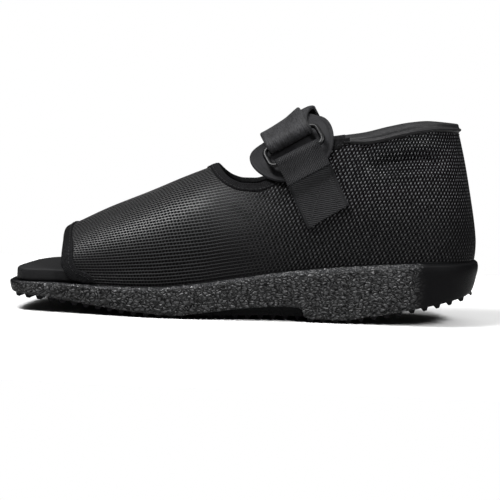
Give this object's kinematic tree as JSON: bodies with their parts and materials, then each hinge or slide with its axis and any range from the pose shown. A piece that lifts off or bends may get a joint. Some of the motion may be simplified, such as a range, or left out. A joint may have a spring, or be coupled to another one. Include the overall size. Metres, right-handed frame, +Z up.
{
  "type": "fracture shoe",
  "caption": "Black open-toed fracture shoe: rigid rocker sole, thick footbed, mesh upper open at toe and instep, one hook-and-loop strap through a rectangular ring.",
  "frame": {"origin": "centre of the shoe's length and width, on the floor under the tread", "axes": "-X towards the toe, +X towards the heel, -Y the side with the ring, +Z up"},
  "size_m": [0.2934, 0.108, 0.1335],
  "materials": {
    "outsole": "moulded foam rubber with a pebbled side",
    "insole": "matte foam with a smooth cloth face",
    "upper": "padded spacer mesh",
    "toe_binding": "knit tape",
    "throat_binding": "knit tape",
    "collar_roll": "smooth padded cloth",
    "ring_pad": "padded cloth with a bound edge",
    "webbing": "woven webbing",
    "ring": "glossy moulded plastic",
    "strap": "loop pile"
  },
  "bodies": {
    "root": {"outsole": "outsole", "insole": "insole", "upper": "upper", "toe_binding": "toe_binding", "throat_binding": "throat_binding", "collar_roll": "collar_roll", "ring_pad": "ring_pad", "webbing": "webbing", "ring": "ring", "strap": "strap"}
  },
  "joints": []
}
